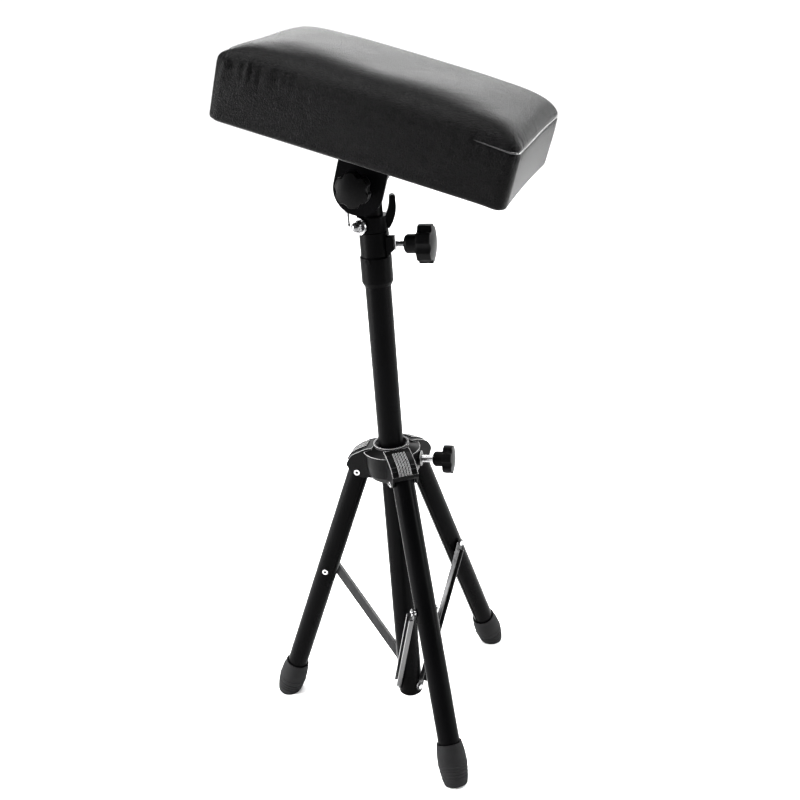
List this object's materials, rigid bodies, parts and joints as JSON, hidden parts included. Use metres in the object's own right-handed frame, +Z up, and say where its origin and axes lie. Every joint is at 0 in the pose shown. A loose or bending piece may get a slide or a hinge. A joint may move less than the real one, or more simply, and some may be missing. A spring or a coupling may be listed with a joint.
{
  "type": "tattoo arm rest stand",
  "caption": "Padded arm rest on a tilting, turning and sliding post with a folding tripod base.",
  "frame": {"origin": "the point on the floor under the post's axis", "axes": "+Z up along the post; the picture looks along +Y, and +X is to its right"},
  "size_m": [0.364, 0.3024, 0.7926],
  "materials": {
    "tube_coat": "semi-gloss black powder coat",
    "brace_coat": "gloss black coat on rolled strip",
    "moulding": "moulded black nylon, satin",
    "knob_plastic": "moulded black plastic, fine texture",
    "bright_steel": "bright zinc or nickel plate",
    "foot_rubber": "moulded black rubber, dull",
    "bush_plastic": "natural acetal",
    "fibre": "dark friction washer",
    "plywood": "bare plywood",
    "dust_cloth": "thin non-woven cloth",
    "cover_leather": "black grained synthetic leather, soft sheen",
    "insert_brass": "turned brass"
  },
  "bodies": {
    "mast": {"main_tube": "tube_coat", "base_collar": "moulding", "base_rivets": "bright_steel", "clutch_sleeve": "moulding", "sleeve_nut": "bright_steel", "sleeve_rivet": "bright_steel"},
    "hub": {"hub_body": "moulding", "leg_pins": "bright_steel"},
    "hub_clamp": {"hub_knob": "knob_plastic", "hub_knob_screw": "bright_steel"},
    "leg_front": {"leg_tube_front": "tube_coat", "leg_plug_front": "moulding", "leg_foot_front": "foot_rubber", "leg_rivet_front": "bright_steel"},
    "leg_right": {"leg_tube_right": "tube_coat", "leg_plug_right": "moulding", "leg_foot_right": "foot_rubber", "leg_rivet_right": "bright_steel"},
    "leg_left": {"leg_tube_left": "tube_coat", "leg_plug_left": "moulding", "leg_foot_left": "foot_rubber", "leg_rivet_left": "bright_steel"},
    "brace_arm_front": {"brace_front": "brace_coat", "brace_rivet_front": "bright_steel"},
    "brace_arm_right": {"brace_right": "brace_coat", "brace_rivet_right": "bright_steel"},
    "brace_arm_left": {"brace_left": "brace_coat", "brace_rivet_left": "bright_steel"},
    "sleeve_clamp": {"sleeve_knob": "knob_plastic", "sleeve_knob_screw": "bright_steel"},
    "bush": {"guide_bush": "bush_plastic"},
    "inner": {"inner_tube": "tube_coat", "cross_tube": "tube_coat", "head_washers": "fibre"},
    "collar": {"hook_collar": "moulding", "clamp_stud": "bright_steel", "clamp_nut": "bright_steel"},
    "collar_clamp": {"clamp_screw": "bright_steel", "clamp_bar": "bright_steel"},
    "pad": {"bracket": "tube_coat", "base_board": "plywood", "dust_cover": "dust_cloth", "pad_cushion": "cover_leather", "pad_screws": "bright_steel", "pad_tee_nuts": "bright_steel", "tilt_bolt": "bright_steel", "bolt_washer": "bright_steel"},
    "tilt_clamp": {"tilt_knob": "knob_plastic", "tilt_knob_insert": "insert_brass"}
  },
  "joints": [
    {"name": "hub_slide", "type": "slide", "parent": "mast", "child": "hub", "axis": [0, 0, 1], "range_m": [0, 0.02912]},
    {"name": "leg_fold_front", "type": "hinge", "parent": "hub", "child": "leg_front", "pos_m": [0.0099, -0.03695, 0.319], "axis": [0.9659, 0.2588, 0], "range_deg": [0, 20.94]},
    {"name": "leg_fold_right", "type": "hinge", "parent": "hub", "child": "leg_right", "pos_m": [0.02705, 0.02705, 0.319], "axis": [-0.7071, 0.7071, 0], "range_deg": [0, 20.94]},
    {"name": "leg_fold_left", "type": "hinge", "parent": "hub", "child": "leg_left", "pos_m": [-0.03695, 0.0099, 0.319], "axis": [-0.2588, -0.9659, 0], "range_deg": [0, 20.94]},
    {"name": "brace_fold_front", "type": "hinge", "parent": "mast", "child": "brace_arm_front", "pos_m": [0, 0, 0.0257], "axis": [0.9659, 0.2588, 0], "range_deg": [-17.48, 0]},
    {"name": "brace_fold_right", "type": "hinge", "parent": "mast", "child": "brace_arm_right", "pos_m": [0, 0, 0.0257], "axis": [-0.7071, 0.7071, 0], "range_deg": [-17.48, 0]},
    {"name": "brace_fold_left", "type": "hinge", "parent": "mast", "child": "brace_arm_left", "pos_m": [0, 0, 0.0257], "axis": [-0.2588, -0.9659, 0], "range_deg": [-17.48, 0]},
    {"name": "hub_knob_turn", "type": "hinge", "parent": "hub", "child": "hub_clamp", "pos_m": [0, 0, 0.332], "axis": [0.9659, -0.2588, 0], "range_deg": [0, 720]},
    {"name": "sleeve_knob_turn", "type": "hinge", "parent": "mast", "child": "sleeve_clamp", "pos_m": [0, 0, 0.5783], "axis": [0.9659, -0.2588, 0], "range_deg": [0, 720]},
    {"name": "height_slide", "type": "slide", "parent": "mast", "child": "bush", "axis": [0, 0, 1], "range_m": [0, 0.295]},
    {"name": "head_swivel", "type": "hinge", "parent": "bush", "child": "inner", "pos_m": [0, 0, 0.26], "axis": [0, 0, 1], "continuous": true},
    {"name": "collar_turn", "type": "hinge", "parent": "inner", "child": "collar", "pos_m": [0, 0, 0.6], "axis": [0, 0, 1], "range_deg": [-20, 20]},
    {"name": "collar_clamp_turn", "type": "hinge", "parent": "collar", "child": "collar_clamp", "pos_m": [-0.0251, 0, 0.6163], "axis": [-1, 0, 0], "range_deg": [0, 360]},
    {"name": "pad_tilt", "type": "hinge", "parent": "inner", "child": "pad", "pos_m": [0, 0, 0.647], "axis": [0.3338, 0.9426, 0], "range_deg": [-72, 38]},
    {"name": "tilt_knob_turn", "type": "hinge", "parent": "pad", "child": "tilt_clamp", "pos_m": [-0.01502, -0.04242, 0.647], "axis": [-0.3338, -0.9426, 0], "range_deg": [0, 720]}
  ],
  "couplings": [
    {"joint": "leg_fold_front", "follows": "hub_slide", "rad_per_m": 12.521},
    {"joint": "leg_fold_right", "follows": "hub_slide", "rad_per_m": 12.521},
    {"joint": "leg_fold_left", "follows": "hub_slide", "rad_per_m": 12.521},
    {"joint": "brace_fold_front", "follows": "hub_slide", "rad_per_m": -10.445},
    {"joint": "brace_fold_right", "follows": "hub_slide", "rad_per_m": -10.445},
    {"joint": "brace_fold_left", "follows": "hub_slide", "rad_per_m": -10.445}
  ]
}
